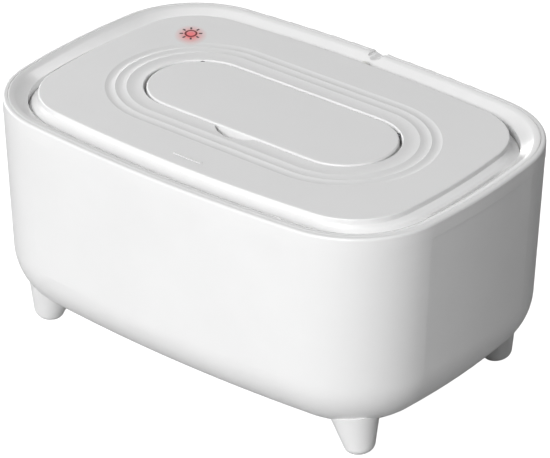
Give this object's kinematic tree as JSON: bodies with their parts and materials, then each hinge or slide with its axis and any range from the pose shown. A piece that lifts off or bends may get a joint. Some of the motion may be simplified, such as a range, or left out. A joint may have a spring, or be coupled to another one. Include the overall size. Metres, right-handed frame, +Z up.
{
  "type": "baby wipe warmer",
  "caption": "Bowed white tub on four cone feet with a heated lift-off lid, a racetrack dispensing flap, flutes round it and a thumb pocket.",
  "frame": {"origin": "under the middle of the body, at the height of the foot tips", "axes": "+Z up, +X along the long side towards the right, front towards -Y"},
  "size_m": [0.235, 0.1598, 0.1149],
  "materials": {
    "tub_shell": "glossy injection moulded, white",
    "liner": "glossy injection moulded, white",
    "foot": "glossy injection moulded, white",
    "lid_shell": "fine satin moulded, white",
    "flap_shell": "fine satin moulded, white",
    "lid_tray": "satin moulded, white",
    "silicone": "translucent silicone, white",
    "foot_rubber": "soft rubber, off-white",
    "screw_steel": "zinc plated",
    "pin_steel": "ground stainless",
    "heater_aluminium": "rolled sheet",
    "heater_polyimide": "amber film with etched track",
    "foam": "closed-cell foam, grey",
    "board": "green solder mask",
    "led_lens": "red epoxy",
    "light_acrylic": "clear acrylic",
    "sensor_epoxy": "black epoxy",
    "fuse_case": "tinned can"
  },
  "bodies": {
    "tub": {"outer_tub": "tub_shell", "inner_tub": "liner", "front_left_foot": "foot", "front_right_foot": "foot", "rear_left_foot": "foot", "rear_right_foot": "foot", "foot_screws": "screw_steel", "foot_plugs": "foot_rubber"},
    "lid": {"lid_cover": "lid_shell", "lid_base": "lid_tray", "lid_gasket": "silicone", "lid_screws": "screw_steel", "heater_plate": "heater_aluminium", "heater_film": "heater_polyimide", "insulation_pad": "foam", "thermal_fuse": "fuse_case", "temperature_sensor": "sensor_epoxy", "plate_screws": "screw_steel", "control_board": "board", "indicator_led": "led_lens", "light_guide": "light_acrylic", "cord_gland": "foot_rubber", "dispensing_pan": "lid_tray", "dispensing_orifice": "silicone"},
    "flap": {"dispensing_flap": "flap_shell", "flap_hinge_pins": "pin_steel"}
  },
  "joints": [
    {"name": "lid_lift", "type": "slide", "parent": "tub", "child": "lid", "axis": [0, 0, 1], "range_m": [0, 0.06]},
    {"name": "flap_hinge", "type": "hinge", "parent": "lid", "child": "flap", "pos_m": [0, 0.02, 0.1132], "axis": [-1, 0, 0], "range_deg": [0, 85]}
  ]
}
